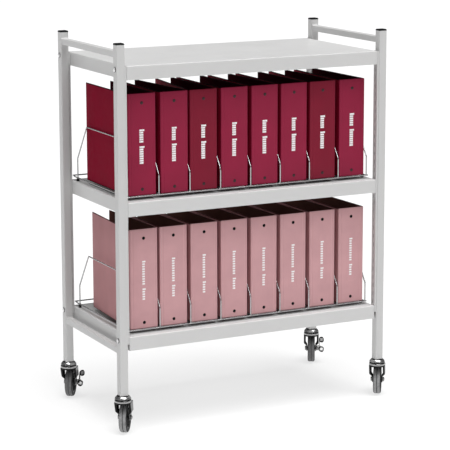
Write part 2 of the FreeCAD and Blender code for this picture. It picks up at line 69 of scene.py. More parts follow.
class Material:
    """A Principled material with its node tree at hand. Texture scales are per metre."""

    def __init__(self, name, **sockets):
        self.data = bpy.data.materials.new(name)
        self.data.use_nodes = True
        self.tree = self.data.node_tree
        self.shader = self.tree.nodes["Principled BSDF"]
        self.place = self.tree.nodes.new("ShaderNodeTexCoord").outputs["Object"]
        for socket, value in sockets.items():
            self.shader.inputs[socket.replace("_", " ")].default_value = value

    def node(self, kind, **settings):
        made = self.tree.nodes.new("ShaderNode" + kind)
        for key, value in settings.items():
            setattr(made, key, value)
        return made

    def join(self, output, target):
        self.tree.links.new(output, target)

    def noise(self, size, detail=3.0, stretch=(1.0, 1.0, 1.0)):
        """Noise whose features are about size metres across, longer where stretch is over 1."""
        mapping = self.node("Mapping")
        mapping.inputs["Scale"].default_value = [1.0 / (size * along) for along in stretch]
        self.join(self.place, mapping.inputs["Vector"])
        made = self.node("TexNoise")
        made.inputs["Scale"].default_value = 1.0
        made.inputs["Detail"].default_value = detail
        self.join(mapping.outputs["Vector"], made.inputs["Vector"])
        return made.outputs["Fac"]

    def cells(self, size):
        """Pebbles about size metres across."""
        made = self.node("TexVoronoi", feature="SMOOTH_F1")
        made.inputs["Scale"].default_value = 1.0 / size
        self.join(self.place, made.inputs["Vector"])
        return made.outputs["Distance"]

    def spread(self, fac, low, high, start=0.3, end=0.7):
        """A value that runs from low to high as fac runs from start to end."""
        made = self.node("MapRange")
        for key, value in (("From Min", start), ("From Max", end), ("To Min", low), ("To Max", high)):
            made.inputs[key].default_value = value
        self.join(fac, made.inputs["Value"])
        return made.outputs["Result"]

    def mottle(self, colour, fac, darker, lighter):
        """Base colour that runs between a darker and a lighter tint of colour."""
        made = self.node("Mix", data_type="RGBA")
        made.inputs["A"].default_value = tint(colour, darker)
        made.inputs["B"].default_value = tint(colour, lighter)
        self.join(self.spread(fac, 0.0, 1.0), made.inputs["Factor"])
        self.join(made.outputs["Result"], self.shader.inputs["Base Color"])

    def roughen(self, fac, low, high):
        """Roughness that runs from low to high."""
        self.join(self.spread(fac, low, high), self.shader.inputs["Roughness"])

    def bump(self, *layers):
        """Stack of (height, strength, depth in metres), coarsest first."""
        normal = None
        for height, strength, depth in layers:
            made = self.node("Bump")
            made.inputs["Strength"].default_value = strength
            made.inputs["Distance"].default_value = depth
            self.join(height, made.inputs["Height"])
            if normal is not None:
                self.join(normal, made.inputs["Normal"])
            normal = made.outputs["Normal"]
        self.join(normal, self.shader.inputs["Normal"])


def powder_coat(name, colour):
    """Satin powder coat: fine orange peel over a faint long ripple of the sheet."""
    made = Material(name, Specular_IOR_Level=0.45)
    made.mottle(colour, made.noise(0.12), 0.985, 1.012)
    made.roughen(made.noise(0.05), 0.30, 0.38)
    made.bump((made.noise(0.09, 1.0), 0.10, 0.0012), (made.noise(0.0013, 2.0), 0.16, 0.00010))
    return made.data


def chrome_plate(name, colour, low, high, metallic=1.0):
    """Plated wire or sheet: mirror-like, with the base metal's faint waviness."""
    made = Material(name, Metallic=metallic)
    made.mottle(colour, made.noise(0.02), 0.94, 1.04)
    made.roughen(made.noise(0.006, 4.0), low, high)
    made.bump((made.noise(0.004, 2.0), 0.08, 0.00010))
    return made.data


def zinc_plate(name, colour):
    """Zinc-plated steel: dull spangle and fine drawn lines."""
    made = Material(name, Metallic=1.0)
    made.mottle(colour, made.noise(0.003, 5.0), 0.86, 1.08)
    made.roughen(made.noise(0.0015, 3.0), 0.26, 0.42)
    made.bump((made.noise(0.0007, 2.0, (1.0, 1.0, 6.0)), 0.14, 0.00005))
    return made.data


def vinyl(name, colour, low, high, gloss):
    """Embossed binder vinyl: pebble grain, faint mottling and a soft gloss."""
    made = Material(name, Specular_IOR_Level=gloss)
    made.mottle(colour, made.noise(0.06, 4.0), 0.95, 1.05)
    made.roughen(made.noise(0.015), low, high)
    made.bump((made.noise(0.05, 1.0), 0.12, 0.0012),
              (made.cells(0.0011), 0.22, 0.00012), (made.noise(0.0005, 2.0), 0.15, 0.00004))
    return made.data


def moulded(name, colour, low, high, gloss=0.4):
    """Moulded plastic or rubber with a fine spark-eroded grain."""
    made = Material(name, Specular_IOR_Level=gloss)
    made.mottle(colour, made.noise(0.01, 4.0), 0.85, 1.18)
    made.roughen(made.noise(0.004), low, high)
    made.bump((made.noise(0.0008, 3.0), 0.25, 0.00008))
    return made.data


def tread_rubber(name, colour):
    """Grey rubber tread: scuffed, uneven tone and fine dust in the grain."""
    made = Material(name, Specular_IOR_Level=0.35)
    made.mottle(colour, made.noise(0.006, 6.0), 0.80, 1.20)
    made.roughen(made.noise(0.004), 0.62, 0.85)
    made.bump((made.noise(0.0025, 4.0), 0.30, 0.00020), (made.noise(0.0006, 2.0), 0.25, 0.00008))
    return made.data


def printed(name, colour):
    """Printed ink: flat and slightly uneven, over the vinyl's grain."""
    made = Material(name, Specular_IOR_Level=0.3)
    made.mottle(colour, made.noise(0.0012, 4.0), 0.93, 1.05)
    made.roughen(made.noise(0.003), 0.50, 0.65)
    made.bump((made.cells(0.0011), 0.10, 0.00005))
    return made.data


FRAME_PAINT = powder_coat("frame_paint", (0.600, 0.598, 0.594))
SHELF_PAINT = powder_coat("shelf_paint", (0.630, 0.628, 0.624))
CAP_PLASTIC = moulded("cap_plastic", (0.004, 0.004, 0.0045), 0.55, 0.70, 0.12)
# near-white and only partly metallic: a painted highlight on the bolt heads, nuts and clips
FASTENER = chrome_plate("fastener_steel", (0.84, 0.84, 0.845), 0.20, 0.30, 0.4)
RACK_CHROME = chrome_plate("rack_chrome", (0.50, 0.50, 0.505), 0.20, 0.30)
FOOT_RUBBER = moulded("foot_rubber", (0.012, 0.012, 0.012), 0.60, 0.80)
CASTER_PLATE = chrome_plate("caster_plate", (0.44, 0.44, 0.44), 0.24, 0.34)
FORK_PLATE = chrome_plate("fork_plate", (0.18, 0.18, 0.182), 0.26, 0.40)
# near-black paint for faces of plated pieces that lie in shade: painted shade, not a finish of the metal
BLACK_SHADE_PAINT = moulded("black_painted_shade", (0.006, 0.006, 0.006), 0.50, 0.70, 0.15)
# the rear treads are painted darker than the front ones: painted shade from the cart over the rear wheels
TREADS = {
    "front": tread_rubber("tyre_tread_front", (0.30, 0.30, 0.303)),
    "rear": tread_rubber("tyre_tread_rear_painted_shade", (0.165, 0.165, 0.167)),
}
SIDEWALL = moulded("tyre_sidewall", (0.016, 0.016, 0.017), 0.55, 0.75, 0.3)
# the groove's rubber painted darker than the tread: painted shade in the groove
GROOVE = moulded("tyre_groove_painted_shade", (0.085, 0.085, 0.086), 0.65, 0.80, 0.2)
HUB_PLASTIC = moulded("hub_plastic", (0.014, 0.014, 0.015), 0.40, 0.55)
AXLE_STEEL = zinc_plate("axle_steel", (0.30, 0.30, 0.30))
LEVER_STEEL = chrome_plate("lever_steel", (0.46, 0.46, 0.46), 0.28, 0.40, 0.5)
RING_METAL = chrome_plate("ring_metal", (0.70, 0.70, 0.71), 0.12, 0.22)
MARK_WHITE = printed("spine_mark", (0.90, 0.88, 0.89))
BINDER_LOOKS = {
    "upper": {
        "slot": "binder_burgundy",
        "skins": [
            vinyl("burgundy_spine", (0.279, 0.0135, 0.048), 0.46, 0.58, 0.18),
            # lining: the vinyl painted near-black as the shade inside the case
            vinyl("burgundy_lining_painted_shade", (0.026, 0.003, 0.006), 0.60, 0.75, 0.0),
            # sealed edges: painted near-black as shade along the rims
            vinyl("burgundy_edge_painted_shade", (0.016, 0.002, 0.004), 0.55, 0.70, 0.04),
            # covers: the vinyl's own colour, darkened below the spine's as painted shade between
            # neighbouring binders
            vinyl("burgundy_cover_with_painted_shade", (0.226, 0.0035, 0.022), 0.46, 0.58, 0.015),
        ],
        "browner": vinyl("burgundy_spine_browner", (0.210, 0.0080, 0.0275), 0.46, 0.58, 0.18),
        "rivet": moulded("burgundy_rivet", (0.030, 0.007, 0.011), 0.30, 0.45, 0.4),
    },
    "lower": {
        "slot": "binder_rose",
        "skins": [
            vinyl("rose_spine", (0.590, 0.330, 0.345), 0.46, 0.58, 0.20),
            # lining: the vinyl painted dark brown as the shade inside the case
            vinyl("rose_lining_painted_shade", (0.105, 0.045, 0.038), 0.60, 0.75, 0.0),
            # sealed edges: painted dark brown as shade along the rims
            vinyl("rose_edge_painted_shade", (0.080, 0.028, 0.028), 0.55, 0.70, 0.04),
            # covers: the vinyl's own colour, darkened below the spine's as painted shade between
            # neighbouring binders
            vinyl("rose_cover_with_painted_shade", (0.480, 0.236, 0.246), 0.46, 0.58, 0.04),
        ],
        "rivet": moulded("rose_rivet", (0.003, 0.003, 0.003), 0.45, 0.60, 0.12),
    },
}


BROWNER = ("upper_3", "upper_7")     # these two binders are of a browner batch of vinyl
SPINE, LINING, EDGE, COVER = range(4)
PLATE, PAINTED_SHADE = range(2)       # faces of plated pieces: bright, and painted black as shade
LEG_FACE = 2                 # outer face of a fork's leg, a third kind beside those two
TREAD, SIDE_WALL, CHANNEL = range(3)


def binder_skins(row, name):
    """Materials of one binder's spine, lining, edges and covers."""
    skins = list(BINDER_LOOKS[row]["skins"])
    if name in BROWNER:
        skins[SPINE] = BINDER_LOOKS[row]["browner"]
    return skins


# ---- shapes ----

class Shape:
    """Points and faces gathered from lofts. Each face has a kind, its place in the materials."""

    def __init__(self):
        self.points = []
        self.faces = []
        self.kinds = []

    def face(self, corners, kind=0):
        self.faces.append(tuple(corners))
        self.kinds.append(kind)

    def loft(self, rings, kind=0, caps=True, wrap=False):
        """Skin closed rings of one length. wrap joins the last ring to the first."""
        start = len(self.points)
        size = len(rings[0])
        count = len(rings)
        for ring in rings:
            self.points += [Vector(point) for point in ring]
        for level in range(count if wrap else count - 1):
            low = start + level * size
            high = start + (level + 1) % count * size
            for index in range(size):
                after = (index + 1) % size
                here = kind(level, index) if callable(kind) else kind
                self.face((low + index, low + after, high + after, high + index), here)
        if caps and not wrap:
            end = kind(0, 0) if callable(kind) else kind
            self.face(range(start + size - 1, start - 1, -1), end)
            last = start + (count - 1) * size
            self.face(range(last, last + size), end)

    def lathe(self, profile, place=None, segments=48, kind=0, wrap=False):
        """Turn (radius, height) points round Z, then put the result at place."""
        place = place or Matrix()
        rings = []
        for radius, height in profile:
            ring = []
            for step in range(segments):
                angle = math.tau * step / segments
                ring.append(place @ Vector((radius * math.cos(angle), radius * math.sin(angle), height)))
            rings.append(ring)
        self.loft(rings, kind, wrap=wrap)

    def tube(self, path, radius, sides=12, kind=0):
        """Round wire along a list of points, with slightly rounded ends."""
        tangents = []
        for index, point in enumerate(path):
            before = path[max(0, index - 1)]
            after = path[min(len(path) - 1, index + 1)]
            tangents.append((after - before).normalized())
        across = tangents[0].orthogonal().normalized()
        rings = []
        for index, (point, tangent) in enumerate(zip(path, tangents)):
            across = (across - tangent * across.dot(tangent)).normalized()
            up = tangent.cross(across)
            end = index in (0, len(path) - 1)
            sizes = [radius * 0.7, radius] if index == 0 else [radius, radius * 0.7] if end else [radius]
            shifts = [0.0, radius * 0.3] if index == 0 else [-radius * 0.3, 0.0] if end else [0.0]
            for size, shift in zip(sizes, shifts):
                ring = []
                for side in range(sides):
                    angle = math.tau * side / sides
                    offset = (across * math.cos(angle) + up * math.sin(angle)) * size
                    ring.append(point + tangent * shift + offset)
                rings.append(ring)
        self.loft(rings, kind)

    def slab(self, outline, across, thickness, kind=0, edge=0.0, hole=()):
        """Plate from an outline on one plane, thickened along across, with softened edges.

        hole is a ring inside the outline with as many points, for a plate with a hole."""
        middle = sum(outline, Vector()) / len(outline)
        step = across.normalized()
        rings = []
        for rise, inset in ((0.0, edge), (edge, 0.0), (thickness - edge, 0.0), (thickness, edge)):
            ring = []
            for point in outline:
                inward = (middle - point).normalized() * inset
                ring.append(point + inward + step * rise)
            rings.append(ring)
        if hole:
            rings = [list(hole)] + rings + [[point + step * thickness for point in hole]]
        self.loft(rings, kind, wrap=bool(hole))

    def object(self, name, body, materials, smooth=32.0, replaces=()):
        """The finished piece, riding on its body."""
        mesh = bpy.data.meshes.new(name)
        mesh.from_pydata([tuple(point) for point in self.points], [], self.faces)
        mesh.polygons.foreach_set("material_index", self.kinds)
        work = bmesh.new()
        work.from_mesh(mesh)
        bmesh.ops.remove_doubles(work, verts=work.verts, dist=1e-7)
        bmesh.ops.recalc_face_normals(work, faces=work.faces)
        work.to_mesh(mesh)
        work.free()
        mesh.shade_smooth()
        mesh.set_sharp_from_angle(angle=math.radians(smooth))
        for material in materials:
            mesh.materials.append(material)
        made = bpy.data.objects.new(name, mesh)
        SCENE.collection.objects.link(made)
        if replaces:
            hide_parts(*replaces)
        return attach(made, body)


def arc(centre, radius, start, end, steps):
    """Points of an arc in a plane, as (x, y) pairs; angles in degrees."""
    points = []
    for step in range(steps + 1):
        angle = math.radians(start + (end - start) * step / steps)
        points.append((centre[0] + radius * math.cos(angle), centre[1] + radius * math.sin(angle)))
    return points


def rounded_rectangle(centre, half, radius, inset, steps):
    """Closed outline of (x, z) pairs with round corners, drawn in by inset."""
    outline = []
    for turn, (side_x, side_z) in enumerate(((1, 1), (-1, 1), (-1, -1), (1, -1))):
        corner = (centre[0] + side_x * (half[0] - radius), centre[1] + side_z * (half[1] - radius))
        outline += arc(corner, radius - inset, 90 * turn, 90 * turn + 90, steps)
    return outline


def ease(value):
    """Smooth step from 0 to 1."""
    value = min(1.0, max(0.0, value))
    return value * value * (3.0 - 2.0 * value)


def scaled(profile):
    """A profile given in mm, in metres."""
    return [(radius * MM, height * MM) for radius, height in profile]


def middle_of(node):
    """Middle of a CAD node's box."""
    low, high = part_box(node)
    return (low + high) / 2


# ---- carried-over CAD nodes ----

def dress(name, material):
    """Give a CAD node its material."""
    node = frame["nodes"][name]
    node.data.materials.clear()
    node.data.materials.append(material)


def dress_frame():
    """Materials of the CAD nodes that stay."""
    for name in frame["nodes"]:
        if name.startswith(("post_front", "post_rear", "handle_rail", "cross_rail", "shelf_standard")):
            dress(name, FRAME_PAINT)
    for level in ("bottom", "middle", "top"):
        dress("shelf_" + level, SHELF_PAINT)
    for part, material in (("nuts", FASTENER), ("clips", FASTENER)):
        dress("shelf_" + part, material)
    for part, material in (("upper", RACK_CHROME), ("lower", RACK_CHROME), ("feet", FOOT_RUBBER)):
        dress("rack_" + part, material)
    dress("post_caps", CAP_PLASTIC)


# ---- welds ----

WELD_LEG = 2.3 * MM
WELD_RIPPLE = 2.6 * MM       # length of one ripple along the bead
WELD_CORNER = 2.6 * MM       # radius of the rail's corners
WELD_CORNER_STEPS = 6
WELD_SIDE_STEPS = 12
WELD_UNEVEN = 410.0          # slow unevenness of the bead, in radians a metre
WELD_BURIED = 0.6 * MM       # how far the bead's root lies inside the rail
WELD_SUNK = 0.3 * MM         # how far its foot lies inside the post


def weld_line(centre, half):
    """Points round a rail's section, close together on its sides too."""
    corners = rounded_rectangle((centre.x, centre.z), (half, half), WELD_CORNER, 0.0, WELD_CORNER_STEPS)
    size = WELD_CORNER_STEPS + 1
    line = []
    for turn in range(4):
        line += corners[turn * size:(turn + 1) * size]
        start = line[-1]
        end = corners[(turn + 1) * size % len(corners)]
        for step in range(1, WELD_SIDE_STEPS):
            share = step / WELD_SIDE_STEPS
            line.append((start[0] + (end[0] - start[0]) * share, start[1] + (end[1] - start[1]) * share))
    return line


def weld_bead(name, rail, post):
    """Fillet weld round a rail's end, where it meets its post: a rippled triangular bead."""
    low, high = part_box(rail)
    centre = (low + high) / 2
    half = (high.x - low.x) / 2
    post_middle = middle_of(post).y
    inward = 1.0 if centre.y > post_middle else -1.0
    face = low.y if inward > 0 else high.y
    line = weld_line(centre, half)
    rings = []
    travelled = 0.0
    previous = line[0]
    for x, z in line:
        travelled += math.hypot(x - previous[0], z - previous[1])
        previous = (x, z)
        reach = Vector((x - centre.x, 0, z - centre.z))
        flat = max(abs(reach.x), abs(reach.z)) - WELD_CORNER
        out = Vector([part if abs(part) > flat else 0 for part in reach]).normalized()
        wave = math.sin(math.tau * travelled / WELD_RIPPLE)
        leg = WELD_LEG * (1.0 + 0.10 * wave + 0.08 * math.sin(travelled * WELD_UNEVEN))
        base = Vector((x, face, z))
        along = Vector((0, inward, 0))
        rings.append([
            base - out * WELD_BURIED - along * WELD_SUNK,
            base + out * leg - along * WELD_SUNK,
            base + out * leg * 0.80 + along * leg * 0.22,
            base + out * leg * 0.52 + along * leg * 0.50,
            base + out * leg * 0.22 + along * leg * 0.82,
            base - out * WELD_BURIED + along * leg,
        ])
    bead = Shape()
    bead.loft(rings, wrap=True)
    bead.object(name, "frame", [FRAME_PAINT], smooth=60.0)


def build_welds():
    """A bead at both ends of each rail."""
    for kind in ("handle_rail", "cross_rail"):
        for side in ("left", "right"):
            for end in ("front", "rear"):
                weld_bead("weld_%s_%s_%s" % (kind, end, side), kind + "_" + side, "post_%s_%s" % (end, side))


# ---- shelf bolts ----

BOLT_RADIUS = 3.0
NUT_PAST = 6.5               # from a nut's outer seat to the bolt's tip, in mm
BOLT_SINK = 0.2              # how far the shank's end lies inside the head, in mm
RIM_LEVELS = 3               # steps of the head's profile, from the paint out, painted black as shade
BOLT_HEAD = ((7.6, 0.0), (7.6, 0.7), (7.45, 1.3), (7.0, 1.9), (6.2, 2.5), (5.0, 3.05), (3.4, 3.5),
             (1.7, 3.75), (0.2, 3.8))


def build_bolts():
    """Domed bolts through the posts: crown painted bright as a highlight, rim painted black as shade where
    the head meets the paint.
    """
    low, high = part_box("shelf_bolts")
    nuts_low, nuts_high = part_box("shelf_nuts")
    tip = (nuts_high.x - nuts_low.x) / 2 - NUT_PAST * MM
    centre_x = (low.x + high.x) / 2
    head = BOLT_HEAD[-1][1] * MM
    face = (high.x - low.x) / 2 - head
    radius = BOLT_HEAD[0][0] * MM
    shank = [(BOLT_RADIUS * MM, tip - face), (BOLT_RADIUS * MM, BOLT_SINK * MM)]

    def skin(level, index):
        return PAINTED_SHADE if level < RIM_LEVELS else PLATE

    bolts = Shape()
    for side in (-1, 1):
        for y in (low.y + radius, high.y - radius):
            for z in (low.z + radius, high.z - radius):
                turn = Matrix.Rotation(math.radians(90 * side), 4, "Y")
                place = Matrix.Translation((centre_x + side * face, y, z)) @ turn
                bolts.lathe(scaled(BOLT_HEAD), place, segments=32, kind=skin)
                bolts.lathe(shank, place, segments=16)
    bolts.object("bolts", "frame", [FASTENER, BLACK_SHADE_PAINT],
                 replaces=["shelf_bolts"], smooth=50.0)


# ---- racks ----

NUGGET = 2.9 * MM
RACK_WIRE = 2.0 * MM         # half a wire's thickness
FOOT_HALF = 4.5 * MM         # half a rubber foot's depth


def nugget(shape, centre, stretch):
    """Small flattened ball of a resistance weld."""
    profile = [(0.15, -0.98), (0.5, -0.86), (0.86, -0.5), (1.0, 0.0), (0.86, 0.5), (0.5, 0.86), (0.15, 0.98)]
    size = Matrix.Diagonal((*[NUGGET * part for part in stretch], 1.0))
    shape.lathe(profile, Matrix.Translation(centre) @ size, segments=14)


def rack_columns(row):
    """X of the nine cross wires, midway between neighbouring binders and half a pitch past the ends."""
    middles = [middle_of("binder_%s_%d" % (row, index + 1)).x for index in range(BINDERS_IN_ROW)]
    pitch = (middles[-1] - middles[0]) / (BINDERS_IN_ROW - 1)
    return [middles[0] + (index - 0.5) * pitch for index in range(BINDERS_IN_ROW + 1)]


def rack_welds(row):
    """Weld nuggets where the wires of one rack cross."""
    low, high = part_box("rack_" + row)
    foot_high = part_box("rack_feet")[1]
    rail = low.z + RACK_WIRE
    leg_y = foot_high.y - FOOT_HALF
    welds = Shape()
    for x in rack_columns(row):
        nugget(welds, Vector((x, low.y + RACK_WIRE * 1.7, rail)), (0.95, 0.8, 0.75))
        nugget(welds, Vector((x, high.y - RACK_WIRE, rail + RACK_WIRE)), (0.8, 0.8, 0.9))
        nugget(welds, Vector((x, leg_y, rail + RACK_WIRE)), (0.8, 0.8, 0.75))
    welds.object("rack_welds_" + row, "frame", [RACK_CHROME], smooth=70.0)


# ---- binders ----

BOARD = 3.0 * MM
CORNER = 3.4 * MM            # outer radius where spine and cover meet
CREASE_DEPTH = 0.5 * MM
HINGE_DEPTH = 0.8 * MM
LEAN_FROM = 10.0 * MM        # depth at which a cover starts to lean in
SPINE_STEPS = 13             # steps of the section from the spine's middle to the corner
EDGE_SHAPE = ((0.0, 0.30), (0.5, 0.64), (1.2, 0.87), (2.4, 1.0))   # mm from the end, share of thickness


def cover_leans(node):
    """How far the rear edges of a binder's left and right covers lean in."""
    low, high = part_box(node)
    rear = [vertex.co.x for vertex in frame["nodes"][node].data.vertices if vertex.co.y > high.y - MM]
    return min(rear) - low.x, high.x - max(rear)


def case_section(half, depth, lean):
    """Pairs of outer and inner points, from the spine's middle round to the cover's rear edge."""
    pairs = []

    def pair(outer_x, outer_y, inner_x, inner_y):
        pairs.append((Vector((outer_x, outer_y)), Vector((inner_x, inner_y))))

    inner = half - BOARD
    for x in (0.0, half - 14 * MM):
        pair(x, 0.0, min(x, inner - 2 * MM), BOARD)
    for x, dip in ((10.2, 0.0), (9.4, 0.7), (8.6, 1.0), (7.8, 0.7), (7.0, 0.0)):
        pair(half - x * MM, CREASE_DEPTH * dip, half - (x + 2.0) * MM, BOARD)
    rounds = arc((half - CORNER, CORNER), CORNER, -90, 0, 7)
    insides = arc((inner - 1.6 * MM, BOARD + 1.6 * MM), 1.6 * MM, -90, 0, 7)
    for outer_point, inner_point in zip(rounds, insides):
        pair(*outer_point, *inner_point)
    for y, dip in ((6.4, 0.0), (7.4, 0.6), (8.6, 1.0), (9.8, 0.6), (10.8, 0.0)):
        pair(half - HINGE_DEPTH * dip, y * MM, inner, y * MM)
    for share in (0.2, 0.5, 0.8):
        pair(half, depth * share, inner, depth * share)
    pair(half, depth - 2.0 * MM, inner, depth - 2.0 * MM)
    pair(half - 0.45 * MM, depth - 0.6 * MM, inner + 0.45 * MM, depth - 0.6 * MM)
    pair(half - 1.1 * MM, depth, inner + 1.1 * MM, depth)
    for outer_point, inner_point in pairs:
        for point in (outer_point, inner_point):
            point.x -= lean * max(0.0, (point.y - LEAN_FROM) / (depth - LEAN_FROM))
    return pairs


def binder_case(row, name, low, high):
    """Vinyl case: spine and two covers round stiff boards, creased at the hinges, edges sealed."""
    middle = (low.x + high.x) / 2
    half = (high.x - low.x) / 2
    lean_left, lean_right = cover_leans("binder_" + name)
    right = case_section(half, high.y - low.y, lean_right)
    mirrored = case_section(half, high.y - low.y, lean_left)[1:]
    left = [(Vector((-a.x, a.y)), Vector((-b.x, b.y))) for a, b in reversed(mirrored)]
    pairs = left + right
    count = len(pairs)
    heights = [(low.z + rise * MM, share) for rise, share in EDGE_SHAPE]
    heights += [(low.z + (high.z - low.z) * share, 1.0) for share in (0.25, 0.5, 0.75)]
    heights += [(high.z - rise * MM, share) for rise, share in reversed(EDGE_SHAPE)]
    rings = []
    for z, share in heights:
        outer, inner = [], []
        for out_point, in_point in pairs:
            centre = (out_point + in_point) / 2
            for target, point in ((outer, out_point), (inner, in_point)):
                moved = centre + (point - centre) * share
                target.append(Vector((middle + moved.x, low.y + moved.y, z)))
        rings.append(outer + inner[::-1])

    # Spines keep the vinyl's own colour; the lining, sealed edges and covers carry painted shade.
    def skin(level, index):
        rim = level < len(EDGE_SHAPE) - 1 or level >= len(heights) - len(EDGE_SHAPE)
        if index < count - 1:
            steps = abs(index + 0.5 - count // 2)
            return SPINE if steps < SPINE_STEPS else EDGE if rim else COVER
        if index in (count - 1, 2 * count - 1):
            return EDGE
        return EDGE if rim else LINING

    case = Shape()
    case.loft(rings, skin, caps=False)
    for level in (0, len(heights) - 1):
        start = level * 2 * count
        for index in range(count - 1):
            other = 2 * count - 1 - index
            case.face((start + index, start + index + 1, start + other - 1, start + other), EDGE)
    case.object("case_" + name, "binder_" + name, binder_skins(row, name),
                replaces=["binder_" + name])


# Printed block on the spine, in mm: its top edge below the case's top, height and width. The bars are
# counted by group, with the spaces between groups; gap is the share of a bar's pitch left blank.
MARKS = {
    "upper": {"drop": 102.0, "height": 100.0, "width": 15.5, "bars": (6, 1.4, 8), "gap": 0.20},
    "lower": {"drop": 92.0, "height": 117.0, "width": 10.5, "bars": (10, 1.2, 5), "gap": 0.36},
}
MARK_RISE = 0.12 * MM
LATER_BARS = 0.78            # width of the bars after a group's first
LATER_SHIFT = 0.11           # how far those bars sit to the left, as a share of the width


def bar(shape, x, y, z, wide, high):
    """One softly rounded printed bar on the spine's face, centred at (x, z)."""
    radius = min(wide, high) * 0.18
    rings = []
    for rise, inset in ((-0.02 * MM, 0.0), (MARK_RISE * 0.7, 0.0), (MARK_RISE, 0.06 * MM)):
        outline = rounded_rectangle((x, z), (wide / 2, high / 2), radius, inset, 3)
        rings.append([Vector((px, y - rise, pz)) for px, pz in outline])
    shape.loft(rings)


def spine_marks(row, name, low, high):
    """Generic printed bars that stand for a title: groups of short bars down the spine."""
    look = MARKS[row]
    middle = (low.x + high.x) / 2
    pitches = sum(look["bars"])
    pitch = look["height"] * MM / pitches
    z = high.z - look["drop"] * MM
    marks = Shape()
    for index, group in enumerate(look["bars"]):
        if index % 2:
            z -= group * pitch
            continue
        for number in range(group):
            wide = look["width"] * MM
            shift = 0.0
            if number > 0:
                shift = -wide * LATER_SHIFT
                wide *= LATER_BARS
            bar(marks, middle + shift, low.y, z - pitch / 2, wide, pitch * (1 - look["gap"]))
            z -= pitch
    marks.object("marks_" + name, "binder_" + name, [MARK_WHITE])


POCKET_MARGIN = 17.0 * MM
POCKET_WIDTH = 27.0 * MM
POCKET_CORNER = 2.0 * MM
POCKET_SEAL = 0.9            # width of the sealed seam, in mm


def spine_pocket(row, name, low, high):
    """Heat-sealed outline round the title, a narrow raised seam in the vinyl."""
    look = MARKS[row]
    middle = (low.x + high.x) / 2
    top = high.z - look["drop"] * MM + POCKET_MARGIN
    bottom = high.z - (look["drop"] + look["height"]) * MM - POCKET_MARGIN
    centre = (middle, (top + bottom) / 2)
    half = (POCKET_WIDTH / 2, (top - bottom) / 2)
    section = ((0.0, -0.05), (0.15, 0.14), (POCKET_SEAL - 0.15, 0.14), (POCKET_SEAL, -0.05))
    rings = []
    for inset, rise in scaled(section):
        outline = rounded_rectangle(centre, half, POCKET_CORNER, inset, 4)
        rings.append([Vector((x, low.y - rise, z)) for x, z in outline])
    seam = Shape()
    seam.loft(rings, wrap=True)
    seam.object("pocket_" + name, "binder_" + name, binder_skins(row, name)[:1])


RIVET_FROM_TOP = 27.0 * MM
RIVET_FROM_BOTTOM = 17.5 * MM
RIVET_SIZE = 1.2             # scale of the head's radius
RIVET_FLATTEN = 0.8          # scale of its height
RIVET_PROFILE = ((4.0, -0.1), (4.0, 0.12), (3.5, 0.28), (3.1, 0.5), (2.6, 0.95), (1.7, 1.3), (0.7, 1.45),
                 (0.2, 1.48))


def spine_rivets(row, name, low, high):
    """The two rivets that hold the ring mechanism, domed heads on the outside of the spine."""
    rivets = Shape()
    outward = Matrix.Rotation(math.radians(90), 4, "X")
    for z in (low.z + RIVET_FROM_BOTTOM, high.z - RIVET_FROM_TOP):
        place = Matrix.Translation(((low.x + high.x) / 2, low.y, z)) @ outward
        head = [(r * MM * RIVET_SIZE, h * MM * RIVET_FLATTEN) for r, h in RIVET_PROFILE]
        rivets.lathe(head, place, segments=24)
    rivets.object("rivets_" + name, "binder_" + name, [BINDER_LOOKS[row]["rivet"]])


BAR_LENGTH = 276.0 * MM
BAR_WIDTH = 20.0 * MM
BAR_RISE = 4.2 * MM
RING_RADIUS = 35.0 * MM
RING_WIRE = 2.1 * MM
RING_SPACING = 108.0 * MM
RING_FOOT = 7.6 * MM         # half the distance between a ring's feet
LEVER_WIDTH = 15.0 * MM


def arched_bar(shape, centre_x, base_y, centre_z):
    """Spring cover of the mechanism: an arched strip with rounded, tapering ends."""
    rings = []
    for share in (-1.0, -0.985, -0.95, -0.90, -0.6, 0.0, 0.6, 0.90, 0.95, 0.985, 1.0):
        taper = 1.0 - 0.45 * ease((abs(share) - 0.88) / 0.12)
        width = BAR_WIDTH / 2 * taper
        ring = []
        for px, py in arc((0.0, 0.0), 1.0, 0, 180, 12):
            ring.append(Vector((centre_x + px * width, base_y + py ** 0.6 * BAR_RISE * (0.4 + 0.6 * taper),
                                centre_z + share * BAR_LENGTH / 2)))
        rings.append(ring)
    shape.loft(rings)


def half_ring(shape, centre_x, base_y, z, side):
    """One half of a ring, from its foot in the bar to the closure opposite."""
    centre_y = base_y + math.sqrt(RING_RADIUS ** 2 - RING_FOOT ** 2)
    start = math.degrees(math.asin(RING_FOOT / RING_RADIUS))
    path = []
    for step in range(25):
        angle = math.radians(start + (179.5 - start) * step / 24)
        path.append(Vector((centre_x + side * RING_RADIUS * math.sin(angle),
                            centre_y - RING_RADIUS * math.cos(angle), z)))
    shape.tube(path, RING_WIRE)


def booster(shape, centre_x, base_y, centre_z, up):
    """Opening lever at one end of the bar: a tab that curls away from the spine."""
    end = centre_z + up * BAR_LENGTH / 2
    rings = []
    for rise, out, wide in ((-9.0, 2.6, 0.70), (-5.0, 4.4, 0.80), (-1.0, 6.6, 0.92), (1.5, 9.4, 1.0),
                            (2.8, 12.6, 1.0), (3.2, 15.2, 0.86), (3.2, 16.4, 0.62)):
        half = LEVER_WIDTH / 2 * wide
        z = end + up * rise * MM
        y = base_y + out * MM
        thick = 0.7 * MM
        ring = []
        for sx, sy in ((1.0, -0.4), (1.0, 0.4), (0.9, 1.0), (-0.9, 1.0), (-1.0, 0.4), (-1.0, -0.4),
                       (-0.9, -1.0), (0.9, -1.0)):
            ring.append(Vector((centre_x + sx * half, y + sy * thick * 0.7, z + sy * up * thick * 0.7)))
        rings.append(ring)
    shape.loft(rings)


